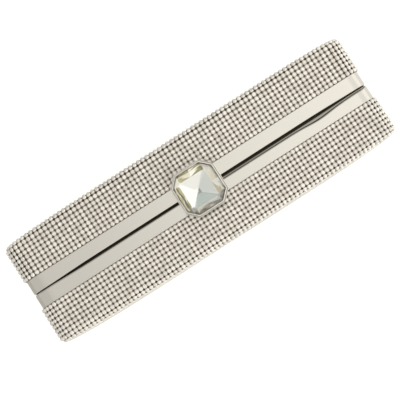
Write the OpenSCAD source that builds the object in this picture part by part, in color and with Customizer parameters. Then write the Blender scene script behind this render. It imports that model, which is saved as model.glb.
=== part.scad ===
// Evening clutch bag: two crystal-mesh trays in a hinged metal frame, closed by a jewelled push clasp.
// It stands on its hinge side. X runs along the seam, -Y is the front and +Z is up.
// The origin is the middle of the base, on the surface that the bag stands on.

/* [Body] */
// Length over the stones
body_l = 206; // [190:1:230]
// Height over the stones, without the clasp
body_h = 110; // [95:1:130]
// Thickness over the stones, at the corners
body_t = 58.2; // [52:0.2:70]
// Crown of each large face along its length
crown_x = 1.3; // [0:0.05:4]
// Crown of each large face along its height
crown_z = 0.4; // [0:0.1:3]
// Outer corner radius of the frame
corner_r = 8; // [7:0.5:12]
// Rounding from a side wall into a large face, at the shell
edge_r = 2; // [1:0.1:4]

/* [Layers] */
// Thickness of the rhinestone mesh
mesh_t = 1.9; // [1.8:0.1:2.4]
// Thickness of the moulded shell
shell_t = 2; // [1.6:0.1:2.2]
// Thickness of the lining
lining_t = 0.8; // [0.5:0.1:1.2]

/* [Frame] */
// Visible width of one rail
rail_w = 7.5; // [7:0.1:9]
// Thickness of the rail's metal
rail_t = 1; // [0.8:0.1:1.2]
// Gap between the two rails
seam_w = 1.2; // [1:0.1:1.6]
// Gap between the two rails at the bag's ends
end_seam = 0.3; // [0.2:0.05:1]
// How far the front rail's edge stands back from its lip, right of the clasp
lip_show = 1.15; // [0:0.05:1.3]
// How far the rails stand above the shell
rail_proud = 0.6; // [0.4:0.1:0.7]

/* [Hinge] */
// Length of one hinge
hinge_l = 30; // [20:1:40]
// Distance of each hinge from the middle
hinge_x = 60; // [50:1:65]
// Radius of the hinge pin
pin_r = 0.6; // [0.5:0.05:0.7]
// Outer radius of the knuckles
knuckle_r = 1.25; // [1.15:0.05:1.3]

/* [Clasp] */
// Width of the stone's setting
setting_w = 25.6; // [22:0.2:27]
// Travel of the button
press = 1.8; // [1.2:0.1:1.8]
// Radius of the button's stem
stem_r = 2.5; // [2:0.1:2.6]

/* [Hidden] */
$fn = 48;
eps = 0.01;
fit = 0.03;            // radial clearance of a pin or stem that turns or slides
gap = 0.1;             // clearance between fixed pieces that lie side by side
mid_z = body_h / 2;
shell_x = body_l / 2 - mesh_t;    // half length of the shell's outer face
shell_z = body_h / 2 - mesh_t;    // half height of the shell's outer face
shell_r = corner_r - rail_proud;  // corner radius of the shell's outer face
shell_d = body_t / 2 - mesh_t;    // depth of the shell's large face from the seam
rail_x = shell_x + rail_proud;    // half length of the frame
rail_z = shell_z + rail_proud;    // half height of the frame
rail_y0 = seam_w / 2;             // the rail's edge at the seam
rail_y1 = rail_y0 + rail_w;       // the rail's edge at the shell
rim_y = rail_y1 - 1.5;            // where the shell's rim ends, under the rail
rim_step = rail_t + 0.05 - rail_proud;  // how far the rim steps in, to pass under the rail
lining_y = rim_y + 0.4;           // where the lining ends
top = mid_z + rail_z;             // the frame's top face
floor_z = mid_z - rail_z;         // the frame's bottom face

// Flanges folded in from the rails, and the front rail's lip
flange_d = 5;          // how deep they reach below the rail's outer face
flange_t = 0.8;
lip_y = 3.6;           // how far the lip reaches back from the seam, under the front rail
lip_t = 0.6;
tongue_y = 2.6;        // how far the back flange's foot reaches under the front flange
tongue_t = 0.6;
tongue_gap = 0.5;

// Hinge
axis_z = floor_z + 0.2;
leaf_t = 0.5;
leaf_w = 6.9;
knuckles = 5;
knuckle_gap = 0.3;
rivet_y = 5.2;
rivet_r = 0.7;
rivet_head_r = 1.1;

// Clasp, with heights measured from the frame's top face
notch_r = stem_r + 1.1;
base_x = 11;
base_t = 1.2;
collar_r = 4.5;
collar_n = 3.6;
setting_n0 = mesh_t - rail_proud + press + 0.3;
seat_n = [5.6, 6.4];   // the floor inside the setting
setting_wall = 1;
ledge_n = 9.1;         // top of the ledge that the stone sits on
ledge_w = 1.1;
setting_n1 = 10.3;
setting_cut = 5.4;     // how much each corner of the setting is cut off
culet_n = 6.7;
girdle_n = [9.6, 10];
table_n = 12.2;
spigot_r = 1.5;
hook_t = 0.8;
hook_x = 4;
hook_n = -8.5;
keeper_y = 6.4;
keeper_n = -7.7;

// ---- shapes that repeat ----

// A rectangle with round corners, centred
module round_rect(hx, hy, r) {
    square([2 * hx, 2 * (hy - r)], center = true);
    square([2 * (hx - r), 2 * hy], center = true);
    for (sx = [-1, 1], sy = [-1, 1]) translate([sx * (hx - r), sy * (hy - r)]) circle(r);
}

// A band round the frame's outline, from depth n0 to n1 and from y0 to y1
module band(y0, y1, n0, n1) {
    translate([0, y1, mid_z]) rotate([90, 0, 0]) linear_extrude(y1 - y0) difference() {
        round_rect(rail_x + n1, rail_z + n1, corner_r + n1);
        round_rect(rail_x + n0, rail_z + n0, corner_r + n0);
    }
}

// A profile in Y and Z, extruded along X and centred on x
module along_x(x, length) {
    translate([x - length / 2, 0, 0]) rotate([90, 0, 90]) linear_extrude(length) children();
}

// A box from its lowest to its highest corner
module span(lo, hi) {
    translate(lo) cube(hi - lo);
}

// ---- trays: the shells, meshes and linings are rings of points swept over one profile ----

arc_n = 5;             // segments in each corner's arc
edge_n = 6;            // segments along each straight side
turn_n = 4;            // segments in the rounding into the large face
turn_min = 0.3;        // smallest radius of that rounding
cap_n = 4;             // rings on the large face
sign_x = [1, -1, -1, 1];
sign_z = [1, 1, -1, -1];

// Places round a ring, as [x share, z share, angle]; along a side they lie closer towards its ends
places = [for (c = [0:3]) each concat(
    [for (k = [0:arc_n]) [sign_x[c], sign_z[c], 90 * (c + k / arc_n)]],
    [for (k = [1:edge_n - 1]) let (n = (c + 1) % 4, t = (1 - cos(180 * k / edge_n)) / 2)
        [sign_x[c] * (1 - t) + sign_x[n] * t, sign_z[c] * (1 - t) + sign_z[n] * t, 90 * (c + 1)]])];
ring_n = len(places);

// A ring is [half length, half height, corner radius, depth, share of the crown]
function crown_share(o, y) = max(0, (y - rail_y1) / (shell_d + o - rail_y1));
function wall_ring(o, y) = [shell_x + o, shell_z + o, shell_r + o, y, crown_share(o, y)];
function turn_r(o) = max(edge_r + o, turn_min);
function turn_ring(o, angle) = let (out = o - turn_r(o) * (1 - cos(angle)),
    y = shell_d + o - turn_r(o) * (1 - sin(angle)))
    [shell_x + out, shell_z + out, shell_r + out, y, crown_share(o, y)];
function cap_ring(o, k) = let (out = o - turn_r(o))
    [(shell_x + out) * k, (shell_z + out) * k, (shell_r + out) * k, shell_d + o, 1];

// The rings of a face that lies o outside the shell, from its middle to the foot of its side wall
function face_rings(o) = concat([for (k = [1:cap_n - 1]) cap_ring(o, sin(90 * k / cap_n))],
    [for (k = [turn_n:-1:0]) turn_ring(o, 90 * k / turn_n)]);
function crown(x, z) = crown_x * (1 - pow(x / shell_x, 6)) + crown_z * (1 - pow(z / shell_z, 2));
function ring_points(r) = [for (p = places)
    let (x = (r[0] - r[2]) * p[0] + r[2] * cos(p[2]), z = (r[1] - r[2]) * p[1] + r[2] * sin(p[2]))
    [x, -r[3] - r[4] * crown(x, z), mid_z + z]];
function reversed(list) = [for (k = [len(list) - 1:-1:0]) list[k]];

// A closed tray: its outer face, the rings of its rim and its inner face.
// The inner face's squares are split along the same diagonal as the outer's, so that trays nest.
module tray(outer, inner, rim) {
    rings = concat(face_rings(outer), rim, reversed(face_rings(inner)));
    count = len(rings);
    turned = len(face_rings(outer)) + len(rim);
    points = concat([for (r = rings) each ring_points(r)],
        [[0, -shell_d - outer - crown(0, 0), mid_z], [0, -shell_d - inner - crown(0, 0), mid_z]]);
    sides = [for (k = [0:count - 2], i = [0:ring_n - 1])
        let (a = k * ring_n + i, b = k * ring_n + (i + 1) % ring_n, c = a + ring_n, d = b + ring_n)
        each k < turned ? [[a, b, d], [a, d, c]] : [[a, b, c], [b, d, c]]];
    poles = [for (i = [0:ring_n - 1]) let (j = (i + 1) % ring_n, last = (count - 1) * ring_n)
        each [[count * ring_n, j, i], [count * ring_n + 1, last + i, last + j]]];
    polyhedron(points, concat(sides, poles), convexity = 4);
}

// ---- the front half; the back half mirrors what it shares with it ----

module mirrored(on) {
    if (on) mirror([0, 1, 0]) children();
    else children();
}

module shell(back = false) {
    color("dimgray") mirrored(back) tray(0, -shell_t, [wall_ring(0, rail_y1 + gap),
        wall_ring(-rim_step, rail_y1 + gap), wall_ring(-rim_step, rim_y), wall_ring(-shell_t, rim_y)]);
}

module rhinestone_mesh(back = false) {
    color("gainsboro") mirrored(back) tray(mesh_t, gap,
        [wall_ring(mesh_t, rail_y1 + gap), wall_ring(gap, rail_y1 + gap)]);
}

module lining(back = false) {
    out = -shell_t - gap;
    color("silver") mirrored(back) tray(out, out - lining_t,
        [wall_ring(out, lining_y), wall_ring(out - lining_t, lining_y)]);
}

// Room for the clasp's stem, through both frames
module stem_room() {
    translate([0, 0, top - flange_d - 2]) cylinder(r = notch_r, h = flange_d + 3);
}

// Room for the two hinges' knuckles, between the rails' bottom edges
module hinge_room() {
    room = knuckle_r + 0.35;
    for (s = [-1, 1]) span([s * hinge_x - hinge_l / 2 - 0.4, -room, -1],
        [s * hinge_x + hinge_l / 2 + 0.4, room, axis_z + room]);
}

// Holes for the rivets of the hinge leaves
module leaf_rivet_holes(side) {
    for (x = rivet_places()) translate([x, side * rivet_y, -1])
        cylinder(r = rivet_r, h = floor_z + rail_t + 2);
}

// The rails' edges on top come together towards the bag's ends
close_x = 66;          // they start to close at this distance from the middle
function ease(t) = let (k = min(1, max(0, t))) k * k * (3 - 2 * k);
function back_edge(x) = rail_y0
    - (rail_y0 - end_seam / 2) * ease((abs(x) - close_x) / (rail_x - 4 - close_x));

// The front rail's edge also stands back from its lip right of the clasp, most where it dips
step_w = 8;            // the edge steps back within this distance of the middle
dip_x = 71;
dip_w = 9;
dip_d = 0.85;
function front_edge(x) = back_edge(x) + lip_show * ease((x + step_w) / (2 * step_w))
    + dip_d * exp(-pow((x - dip_x) / dip_w, 2));
far_x = [for (k = [0:36]) step_w + (rail_x - step_w) * k / 36];
edge_x = concat([for (k = [36:-1:0]) -far_x[k]], [for (k = [-3:3]) step_w * k / 4], far_x);

// What is cut from a rail: the top beyond its edge, and the bottom as far as the plain seam
module edge_cut(side, edges) {
    edge = [for (k = [0:len(edge_x) - 1]) [edge_x[k], side * edges[k]]];
    translate([0, 0, top - rail_t]) linear_extrude(rail_t + 1)
        polygon(concat(edge, [[rail_x, 0], [-rail_x, 0]]));
    span([-rail_x - 1, min(0, side * rail_y0), -1], [rail_x + 1, max(0, side * rail_y0), low_z]);
}
low_z = floor_z + corner_r;

module front_frame() {
    color("silver") difference() {
        union() {
            band(-rail_y1, -end_seam / 2, -rail_t, 0);
            band(-lip_y, -rail_y0, -rail_t - lip_t, -rail_t);
            band(-rail_y0 - flange_t, -rail_y0, -flange_d, -rail_t - lip_t);
        }
        edge_cut(-1, [for (x = edge_x) front_edge(x)]);
        stem_room();
        hinge_room();
        leaf_rivet_holes(-1);
        for (x = keeper_rivet_x) translate([x, -keeper_rivet_y, top - rail_t - 1])
            cylinder(r = rivet_r, h = 3);
    }
}

module back_frame() {
    color("silver") difference() {
        union() {
            band(end_seam / 2, rail_y1, -rail_t, 0);
            band(rail_y0, rail_y0 + flange_t, -flange_d - tongue_gap, -rail_t);
            band(-tongue_y, rail_y0 + flange_t, -flange_d - tongue_gap - tongue_t, -flange_d - tongue_gap);
        }
        edge_cut(1, [for (x = edge_x) back_edge(x)]);
        stem_room();
        hinge_room();
        leaf_rivet_holes(1);
        for (x = base_rivet_x) translate([x, base_rivet_y, top - rail_t - 1]) cylinder(r = rivet_r, h = 3);
    }
}

// ---- hinges ----

function rivet_places() = [for (s = [-1, 1], t = [-1, 1]) s * hinge_x + t * hinge_l / 3];
knuckle_l = (hinge_l - (knuckles - 1) * knuckle_gap) / knuckles;

// One leaf: side is -1 in front and 1 behind, and its knuckles are the odd or the even ones
module hinge_leaf(x, side) {
    first = side < 0 ? 1 : 0;
    start = x - hinge_l / 2;
    pitch = knuckle_l + knuckle_gap;
    bore = side < 0 ? pin_r + fit : pin_r;
    color("lightgray") difference() {
        union() {
            span([start, side < 0 ? -leaf_w : knuckle_r + 0.25, floor_z - leaf_t],
                [start + hinge_l, side < 0 ? -knuckle_r - 0.25 : leaf_w, floor_z]);
            for (k = [first:2:knuckles - 1]) {
                translate([start + k * pitch, 0, axis_z]) rotate([0, 90, 0])
                    cylinder(r = knuckle_r, h = knuckle_l);
                span([start + k * pitch, side < 0 ? -knuckle_r - 0.3 : 0, floor_z - leaf_t],
                    [start + k * pitch + knuckle_l, side < 0 ? 0 : knuckle_r + 0.3, floor_z]);
            }
        }
        translate([start - 1, 0, axis_z]) rotate([0, 90, 0]) cylinder(r = bore, h = hinge_l + 2);
        for (t = [-1, 1]) translate([x + t * hinge_l / 3, side * rivet_y, -1]) cylinder(r = rivet_r, h = 5);
    }
}

module hinge_pin(x) {
    color("silver") translate([x - hinge_l / 2 - 0.2, 0, axis_z]) rotate([0, 90, 0])
        cylinder(r = pin_r, h = hinge_l + 0.4);
}

// A rivet that stands on z, with a head below and a peened head above
module rivet(z, length) {
    translate([0, 0, z - 0.4]) cylinder(r = rivet_head_r, h = 0.4);
    translate([0, 0, z]) cylinder(r = rivet_r, h = length);
    translate([0, 0, z + length]) cylinder(r = rivet_head_r - 0.1, h = 0.3);
}

module leaf_rivets(side) {
    color("silver") for (x = rivet_places()) translate([x, side * rivet_y, 0])
        rivet(floor_z - leaf_t, leaf_t + rail_t);
}

// ---- clasp ----

base_rivet_x = [-8, 8];
base_rivet_y = 4.4;
keeper_rivet_x = [-5.5, 5.5];
keeper_rivet_y = 4.7;

// The plate on the back rail, with the collar that guides the stem
module clasp_base() {
    reach = rail_y1 - 0.5;
    color("silver") difference() {
        union() {
            span([-base_x, rail_y0, top], [base_x, reach, top + base_t]);
            span([-base_x, -reach, top + 0.3], [base_x, rail_y0 + eps, top + base_t]);
            translate([0, 0, top + 0.3]) cylinder(r = collar_r, h = collar_n - 0.3);
        }
        translate([0, 0, top - 1]) cylinder(r = stem_r + fit, h = collar_n + 2);
        for (x = base_rivet_x) translate([x, base_rivet_y, top - 1]) cylinder(r = rivet_r, h = 4);
    }
}

module clasp_base_rivets() {
    color("silver") for (x = base_rivet_x) translate([x, base_rivet_y, 0])
        rivet(top - rail_t, rail_t + base_t);
}

module keeper() {
    color("silver") difference() {
        union() {
            span([-7, -keeper_y, top - rail_t - 0.8], [7, -lip_y - 0.1, top - rail_t]);
            span([-5, -keeper_y, top + keeper_n], [5, -keeper_y + 0.8, top - rail_t]);
        }
        for (x = keeper_rivet_x) translate([x, -keeper_rivet_y, top - 4]) cylinder(r = rivet_r, h = 5);
    }
}

module keeper_rivets() {
    color("silver") for (x = keeper_rivet_x) translate([x, -keeper_rivet_y, 0]) {
        translate([0, 0, top - rail_t - 1.2]) cylinder(r = rivet_head_r, h = 0.4);
        translate([0, 0, top - rail_t - 0.8]) cylinder(r = rivet_r, h = rail_t + 0.8);
    }
}

// The hook's foot, and its tooth in front of the keeper, with a ramp that the keeper rides down on closing
module latch_hook() {
    tooth_y = -keeper_y - 0.5;
    tip_n = keeper_n + press - 0.1;
    color("silver") difference() {
        union() {
            span([-hook_x, tooth_y - 1.6, top + hook_n - hook_t], [hook_x, stem_r + 0.5, top + hook_n]);
            along_x(0, 2 * hook_x) polygon([[tooth_y - 1.6, top + hook_n - hook_t],
                [tooth_y, top + hook_n - hook_t], [tooth_y, top + tip_n], [tooth_y - 0.3, top + tip_n],
                [tooth_y - 1.6, top + keeper_n - 0.2]]);
        }
        translate([0, 0, top + hook_n - hook_t - 1]) cylinder(r = spigot_r, h = hook_t + 2);
    }
}

clip_n = [-0.55, -0.05];
groove_r = stem_r - 0.5;

module clasp_stem() {
    color("silver") difference() {
        union() {
            translate([0, 0, top + hook_n]) cylinder(r = stem_r, h = seat_n[0] - hook_n);
            translate([0, 0, top + hook_n - hook_t]) cylinder(r = spigot_r, h = hook_t + eps);
            translate([0, 0, top + hook_n - hook_t - 0.5]) cylinder(r = spigot_r + 0.7, h = 0.5);
            translate([0, 0, top + seat_n[0]]) cylinder(r = spigot_r, h = seat_n[1] - seat_n[0]);
        }
        translate([0, 0, top + clip_n[0]]) difference() {
            cylinder(r = stem_r + 1, h = clip_n[1] - clip_n[0]);
            translate([0, 0, -1]) cylinder(r = groove_r, h = 3);
        }
    }
}

// The clip in the stem's groove, which stops the button's upward travel
module stem_clip() {
    color("dimgray") translate([0, 0, top + clip_n[0]]) difference() {
        cylinder(r = notch_r - 0.3, h = clip_n[1] - clip_n[0]);
        translate([0, 0, -1]) cylinder(r = groove_r + eps, h = 3);
        span([-groove_r * 0.8, 0, -1], [groove_r * 0.8, notch_r, 2]);
    }
}

// An eight-sided outline of half width h, whose corners are cut by c
function octagon(h, c) = [[h, c - h], [h, h - c], [h - c, h], [c - h, h],
    [-h, h - c], [-h, c - h], [c - h, -h], [h - c, -h]];

// An eight-sided block of half width h from height n0 to n1
module block(h, c, n0, n1) {
    translate([0, 0, top + n0]) linear_extrude(n1 - n0) polygon(octagon(h, c));
}

module stone_setting() {
    half = setting_w / 2;
    inner = half - setting_wall;
    inner_cut = setting_cut - 0.6;
    color("silver") difference() {
        block(half, setting_cut, setting_n0, setting_n1);
        block(inner, inner_cut, setting_n0 - 1, seat_n[0]);
        block(inner - ledge_w, inner_cut - 0.6, seat_n[1], ledge_n + 1);
        block(inner, inner_cut, ledge_n, setting_n1 + 1);
        translate([0, 0, top]) cylinder(r = spigot_r, h = setting_n1);
    }
}

// Rings of the cut stone, as [half width, corner cut, height]
stone_h = setting_w / 2 - setting_wall - gap;
stone_c = setting_cut - 0.6;
stone_rings = [[1.2, 0.5, culet_n], [stone_h, stone_c, girdle_n[0]], [stone_h, stone_c, girdle_n[1]],
    [stone_h - 1.1, stone_c - 0.3, girdle_n[1] + 1], [stone_h - 2.7, stone_c - 0.9, table_n]];

// A solid whose eight-sided rings are joined by flat facets
module cut_stone(rings) {
    count = len(rings);
    points = [for (r = rings) each [for (p = octagon(r[0], r[1])) [p[0], p[1], top + r[2]]]];
    faces = concat([[for (i = [0:7]) i]], [[for (i = [7:-1:0]) (count - 1) * 8 + i]],
        [for (k = [0:count - 2], i = [0:7]) let (a = 8 * k + i, b = 8 * k + (i + 1) % 8)
            each [[a, a + 8, b + 8], [a, b + 8, b]]]);
    polyhedron(points, faces, convexity = 2);
}

module crystal() {
    color("white") cut_stone(stone_rings);
}

// The thin mirror foil behind the stone
module crystal_foil() {
    foil = 0.12;
    back = [for (r = [stone_rings[0], stone_rings[1]]) [r[0], r[1], r[2] - 0.02]];
    color("lightcyan") difference() {
        cut_stone([for (r = back) [r[0], r[1], r[2] - foil]]);
        cut_stone([back[0], back[1], [back[1][0], back[1][1], back[1][2] + 1]]);
    }
}

// ---- spring ----

wire_r = 0.35;
coil_r = 5.4;
coil_turns = 3.5;
coil_steps = 16;       // sections in each turn
wire_sides = 6;
coil_n = [base_t + wire_r + 0.05, seat_n[0] - wire_r - 0.05];

module clasp_spring() {
    sections = coil_turns * coil_steps;
    points = [for (k = [0:sections]) let (angle = 360 * k / coil_steps,
        z = top + coil_n[0] + (coil_n[1] - coil_n[0]) * k / sections)
        each [for (i = [0:wire_sides - 1]) let (a = 360 * i / wire_sides, r = coil_r + wire_r * cos(a))
            [r * cos(angle), r * sin(angle), z + wire_r * sin(a)]]];
    tube = [for (k = [0:sections - 1], i = [0:wire_sides - 1])
        let (a = k * wire_sides + i, b = k * wire_sides + (i + 1) % wire_sides)
        each [[a, b + wire_sides, b], [a, a + wire_sides, b + wire_sides]]];
    ends = [[for (i = [0:wire_sides - 1]) i],
        [for (i = [wire_sides - 1:-1:0]) sections * wire_sides + i]];
    color("gray") polyhedron(points, concat(tube, ends), convexity = 6);
}

// ---- inside ----

pocket = [120, 1.2, 58];

module back_pocket() {
    y = shell_d - shell_t - gap - lining_t + 1.4;
    color("silver") span([-pocket[0] / 2, y - pocket[1], mid_z - pocket[2] / 2 - 6],
        [pocket[0] / 2, y, mid_z + pocket[2] / 2 - 6]);
}

front_frame();
shell();  // front_shell
rhinestone_mesh();  // front_rhinestone_mesh
lining();  // front_lining
hinge_leaf(-hinge_x, -1);  // front_hinge_leaf_left
hinge_leaf(hinge_x, -1);  // front_hinge_leaf_right
leaf_rivets(-1);  // front_leaf_rivets
keeper();
keeper_rivets();
back_frame();
shell(true);  // back_shell
rhinestone_mesh(true);  // back_rhinestone_mesh
lining(true);  // back_lining
back_pocket();
hinge_leaf(-hinge_x, 1);  // back_hinge_leaf_left
hinge_leaf(hinge_x, 1);  // back_hinge_leaf_right
leaf_rivets(1);  // back_leaf_rivets
hinge_pin(-hinge_x);  // hinge_pin_left
hinge_pin(hinge_x);  // hinge_pin_right
clasp_base();
clasp_base_rivets();
clasp_spring();
stone_setting();
crystal();
crystal_foil();
clasp_stem();
stem_clip();
latch_hook();
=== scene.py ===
"""Looks of an evening clutch bag covered in rhinestone mesh.

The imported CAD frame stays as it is. The stones, the cups that hold them, the polished rails, the stone
setting, the large cut stone, the spring and the cloth inside are made here, in the same place and size as
the nodes they stand for. Shapes are worked out in millimetres and put into the meshes in metres.
"""

import bpy
import numpy as np
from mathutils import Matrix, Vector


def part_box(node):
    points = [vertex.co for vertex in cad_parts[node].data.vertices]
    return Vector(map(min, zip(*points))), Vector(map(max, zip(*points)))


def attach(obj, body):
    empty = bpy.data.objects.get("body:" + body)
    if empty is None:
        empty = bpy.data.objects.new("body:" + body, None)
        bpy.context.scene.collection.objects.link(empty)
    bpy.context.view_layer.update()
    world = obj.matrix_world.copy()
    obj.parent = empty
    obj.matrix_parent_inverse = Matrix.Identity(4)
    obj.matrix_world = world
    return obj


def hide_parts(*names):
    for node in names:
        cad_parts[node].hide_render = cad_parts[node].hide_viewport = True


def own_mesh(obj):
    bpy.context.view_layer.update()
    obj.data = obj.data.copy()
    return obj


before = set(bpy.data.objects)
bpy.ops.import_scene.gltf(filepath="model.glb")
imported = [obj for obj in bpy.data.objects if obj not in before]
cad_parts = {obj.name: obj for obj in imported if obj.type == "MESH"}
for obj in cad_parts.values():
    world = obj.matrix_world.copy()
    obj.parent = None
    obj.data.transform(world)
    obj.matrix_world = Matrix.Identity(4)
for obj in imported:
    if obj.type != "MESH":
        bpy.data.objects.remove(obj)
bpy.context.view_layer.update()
MM = 0.001


def box_mm(node):
    """A node's lowest and highest corners in mm."""
    return [np.array(corner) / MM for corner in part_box(node)]


SHELL_LOW, SHELL_HIGH = box_mm("back_shell")
FRAME_HIGH = box_mm("back_frame")[1]

# Shell
MID_Z = (SHELL_LOW[2] + SHELL_HIGH[2]) / 2
SHELL_X = SHELL_HIGH[0]  # half length of its outer face
SHELL_Z = SHELL_HIGH[2] - MID_Z  # half height of it
SHELL_R = 7.4  # its corner radius
EDGE_R = 2.0  # rounding into the large face
CROWN_X = 1.3  # how far the large face bulges along the bag
CROWN_Z = 0.4  # and up it
CROWN_POWER = 6  # the power with which it falls away towards the bag's ends
SHELL_D = SHELL_HIGH[1] - CROWN_X - CROWN_Z  # depth of its large face from the seam, at the corners

# Polished frames
RAIL_X = FRAME_HIGH[0]  # half length of their outer face
RAIL_Z = FRAME_HIGH[2] - MID_Z  # half height of it
RAIL_Y1 = FRAME_HIGH[1]  # the rail's edge at the stones
RAIL_Y0 = 0.6  # its edge at the seam
END_EDGE = 0.15  # its edge at the seam at the bag's ends
RAIL_R = 8.0  # corner radius
ROLL = 0.8  # radius of the rolled edge at the seam
SOFT_R = 0.2  # radius of the soft edge at the stones
RAIL_POINTS = 13  # points of a rail's outline across, above its flange
TOP = FRAME_HIGH[2]

# How the rails' edges run along the top: places along the bag are counted from the clasp
CLOSE_FROM = 66  # here the seam starts to close
CLOSE_OVER = RAIL_X - 70  # and it closes over this length
LIP_FROM = -8  # here the front rail starts to stand back from the lip
LIP_OVER = 16  # and it moves back over this length
LIP_BACK = 1.15  # by this much
DIP_AT = 71  # here it dips further back
DIP_WIDTH = 9
DIP_BACK = 0.85

# Flanges under the rails: distances from the seam, and depths below the rail's face
FLANGE_IN = 1.4  # a flange's inner face
UNDER_RAIL = 1.0  # the rail's own thickness
FRONT_DEPTH = 5.0  # how deep the front flange reaches
LIP_DEPTH = 1.03  # where the lip and the back flange start
LIP_ROLL = 0.6  # how much lower it is where it ends
LEDGE_Y = 3.6  # up to here the front rail is thicker, to carry the lip
LEDGE_DEPTH = 1.7
BACK_DEPTH = 5.5  # how deep the back flange reaches
FOOT_Y = -2.6  # its foot reaches past the seam
FOOT_DEPTH = 6.1

# Openings in the frames
STEM_R = 3.6  # notch for the clasp's stem and collar
STEM_DEPTH = 7
HINGE_X = 60  # the hinges' places along the bag
HINGE_HALF = 15.4  # half length of an opening
HINGE_Y = 1.6
HINGE_Z = 3.1

# Clasp
SETTING_HALF = 12.8  # half width of the setting
SETTING_CUT = 5.4  # how much of its corners is cut off
CUT_LOSS = 0.586  # the cut shrinks by this for each mm that the sides move in: 2 less the root of 2
STONE_SIDES = 16
BAND = 2 * STONE_SIDES  # facets in one band of the large stone
POINT_AT = (-1.5, -0.7)  # the large stone's point lies off the axis
MEET_AT = (-0.9, -0.5)  # its back's four sides change their painted reflection round here

# Rhinestone mesh
PITCH = 2.5
# Pitch along the seam and across it: the back's mesh is stretched along the seam
PITCHES = {"front": (2.456, 2.46), "back": (2.55, 2.39)}
STONE_LEVEL = 1.2  # height of the stones' girdles above the shell
WRAP_R = EDGE_R + STONE_LEVEL  # radius on which the stones go round the edge
WALL_END = SHELL_D + STONE_LEVEL - RAIL_Y1 - WRAP_R  # straight way up a wall, without the crown
FIRST_ROW = 1.25  # from the rail's edge to the middle of the first row
WALL_ROWS = 7
CORNER_ROWS = (1, 2, 3)  # further rows, over the edge at the corners
CORNER_STEP = 2.35  # which lie a little closer
GRID_INSET = 4.3  # the face's grid stays this far inside the shell
GRID_CORNER = 2.2  # and this far inside its rounded corners
LEAST = 2.05  # least distance from a corner's stone to the others
LEAST_FILL = 1.8  # and from a stone that fills a hole


# ---- meshes ----


def volume(mesh):
    """The volume a closed mesh holds: the sum over its triangles of a . (b x c) / 6."""
    mesh.calc_loop_triangles()
    corners = np.empty(3 * len(mesh.loop_triangles), dtype=np.int32)
    mesh.loop_triangles.foreach_get("vertices", corners)
    places = np.empty(3 * len(mesh.vertices), dtype=np.float32)
    mesh.vertices.foreach_get("co", places)
    a, b, c = (places.reshape(-1, 3)[corners.reshape(-1, 3)[:, k]] for k in range(3))
    return float((a * np.cross(b, c)).sum() / 6)


def piece(name, points, faces, body, materials, slots=None, sharp=None):
    """A mesh piece from points in mm and faces; slots gives each face's material.

    A closed mesh is turned to face outwards, and an open sheet away from the origin. With sharp, in
    degrees, the piece is shaded smooth except at edges sharper than that.
    """
    mesh = bpy.data.meshes.new(name)
    mesh.from_pydata((np.asarray(points) * MM).tolist(), [], faces)
    for made in materials:
        mesh.materials.append(made)
    if slots is not None:
        mesh.polygons.foreach_set("material_index", np.asarray(slots, dtype=np.int32))
    if volume(mesh) < 0:
        mesh.flip_normals()
    shade(mesh, sharp)
    made = bpy.data.objects.new(name, mesh)
    bpy.context.scene.collection.objects.link(made)
    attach(made, body)
    return made


def shade(mesh, sharp):
    """Flat shading, or smooth shading with the edges sharper than that many degrees kept crisp."""
    mesh.polygons.foreach_set("use_smooth", np.full(len(mesh.polygons), sharp is not None))
    if sharp is not None:
        mesh.set_sharp_from_angle(angle=np.radians(sharp))
    mesh.update()


def grid_faces(rows, columns, loop_rows=False, loop_columns=False):
    """Quads over a grid whose points are numbered row by row; a looped side joins its far side."""
    r = np.arange(rows if loop_rows else rows - 1)
    c = np.arange(columns if loop_columns else columns - 1)
    r, c = np.meshgrid(r, c, indexing="ij")
    up, on = (r + 1) % rows, (c + 1) % columns
    quads = np.stack([r * columns + c, r * columns + on, up * columns + on, up * columns + c], -1)
    return quads.reshape(-1, 4).tolist()


def box_solid(low, high):
    """The points and faces of a box from its lowest and highest corners."""
    points = [(x, y, z) for z in (low[2], high[2]) for y in (low[1], high[1]) for x in (low[0], high[0])]
    faces = [(0, 2, 3, 1), (4, 5, 7, 6), (0, 1, 5, 4), (2, 6, 7, 3), (0, 4, 6, 2), (1, 3, 7, 5)]
    return points, faces


def upright_cylinder(radius, low, high, sides=64):
    """The points and faces of a cylinder round the clasp's axis."""
    angle = np.arange(sides) * 2 * np.pi / sides
    x = radius * np.cos(angle)
    y = radius * np.sin(angle)
    rings = [np.stack([x, y, np.full(sides, z)], 1) for z in (low, high)]
    return np.concatenate(rings), ring_faces(2, sides)


def cut(made, solids, sharp):
    """Takes solids out of a piece and keeps the result as the piece's own mesh."""
    tools = []
    for points, faces in solids:
        mesh = bpy.data.meshes.new("tool")
        mesh.from_pydata((np.asarray(points) * MM).tolist(), [], faces)
        tool = bpy.data.objects.new("tool", mesh)
        bpy.context.scene.collection.objects.link(tool)
        tools.append(tool)
        taken = made.modifiers.new("cut", "BOOLEAN")
        taken.operation = "DIFFERENCE"
        taken.solver = "EXACT"
        taken.object = tool
    graph = bpy.context.evaluated_depsgraph_get()
    result = bpy.data.meshes.new_from_object(made.evaluated_get(graph))
    made.modifiers.clear()
    made.data = result
    shade(result, sharp)
    for tool in tools:
        bpy.data.objects.remove(tool)


def end_caps(rings, sides):
    """The faces that close the first and the last of several rings of points."""
    return [tuple(range(sides - 1, -1, -1)), tuple(range((rings - 1) * sides, rings * sides))]


def ring_faces(rings, sides):
    """Quads between rings of points that lie one after another, with a cap on the first and last ring."""
    return grid_faces(rings, sides, False, True) + end_caps(rings, sides)


def octagon(half, corner):
    """Eight points of a square of half width half with its corners cut off, counter-clockwise from +X."""
    flat = half - corner
    return np.array(
        [(half, -flat), (half, flat), (flat, half), (-flat, half)]
        + [(-half, flat), (-half, -flat), (-flat, -half), (flat, -half)]
    )


# ---- where the stones sit ----


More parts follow.
